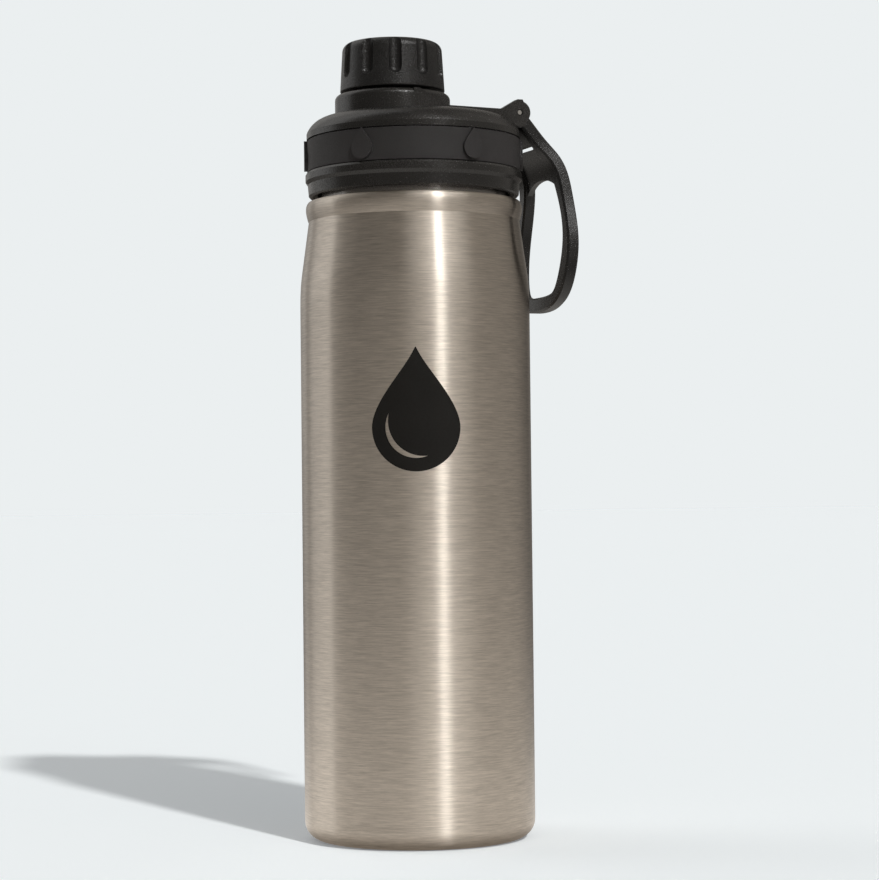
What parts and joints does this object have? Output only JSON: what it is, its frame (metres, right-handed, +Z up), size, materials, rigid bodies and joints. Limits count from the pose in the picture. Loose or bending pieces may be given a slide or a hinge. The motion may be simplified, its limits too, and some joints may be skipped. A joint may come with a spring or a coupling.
{
  "type": "insulated drinking bottle",
  "caption": "Slim double-wall steel drinking bottle with a black screw lid, an off-centre spout under a small fluted screw cap, and a carry loop hinged on the lid.",
  "frame": {"origin": "centre of the base, on the plane the bottle stands on", "axes": "+Z up along the bottle's axis, +X from the axis towards the carry loop's hinge, +Y completes a right-handed frame"},
  "size_m": [0.0852, 0.073, 0.2521],
  "materials": {
    "brushed_steel": "fine horizontal brushed grain, clear coated",
    "plain_steel": "drawn and electropolished",
    "copper_foil": "thin bright copper foil",
    "solder_glass": "fused glass solder",
    "getter_metal": "pressed metal powder",
    "silicone": "translucent grey food-grade silicone",
    "lid_plastic": "satin black polypropylene",
    "soft_grip": "matte black overmoulded elastomer",
    "liner_plastic": "natural moulded black polypropylene",
    "pin_steel": "ground stainless pin",
    "cap_plastic": "fine spark-textured black plastic",
    "loop_plastic": "satin black nylon"
  },
  "bodies": {
    "bottle": {"outer_shell": "brushed_steel", "inner_shell": "plain_steel", "neck_collar": "plain_steel", "radiation_foil": "copper_foil", "outer_base": "plain_steel", "evacuation_seal": "solder_glass", "getter": "getter_metal", "base_cover": "brushed_steel"},
    "lid_seal": {"mouth_gasket": "silicone"},
    "lid": {"lid_shell": "lid_plastic", "grip_band": "soft_grip", "thread_liner": "liner_plastic", "spout_insert": "liner_plastic", "spout_oring": "silicone", "handle_bridge": "lid_plastic", "hinge_pin": "pin_steel"},
    "cap_seal": {"cap_gasket": "silicone"},
    "spout_cap": {"cap_liner": "liner_plastic", "cap_shell": "cap_plastic"},
    "carry_loop": {"carry_loop": "loop_plastic"}
  },
  "joints": [
    {"name": "lid_lift", "type": "slide", "parent": "bottle", "child": "lid_seal", "axis": [0, 0, 1], "range_m": [0, 0.00802]},
    {"name": "lid_turn", "type": "hinge", "parent": "lid_seal", "child": "lid", "pos_m": [0, 0, 0.2116], "axis": [0, 0, 1], "range_deg": [0, 720]},
    {"name": "cap_lift", "type": "slide", "parent": "lid", "child": "cap_seal", "axis": [0, 0, 1], "range_m": [0, 0.00452]},
    {"name": "cap_turn", "type": "hinge", "parent": "cap_seal", "child": "spout_cap", "pos_m": [-0.007, 0, 0.2411], "axis": [0, 0, 1], "range_deg": [0, 540]},
    {"name": "loop_hinge", "type": "hinge", "parent": "lid", "child": "carry_loop", "pos_m": [0.0303, 0, 0.2299], "axis": [0, -1, 0], "range_deg": [0, 165]}
  ],
  "couplings": [
    {"joint": "lid_lift", "follows": "lid_turn", "m_per_rad": 0.00063662},
    {"joint": "cap_lift", "follows": "cap_turn", "m_per_rad": 0.00047746}
  ]
}
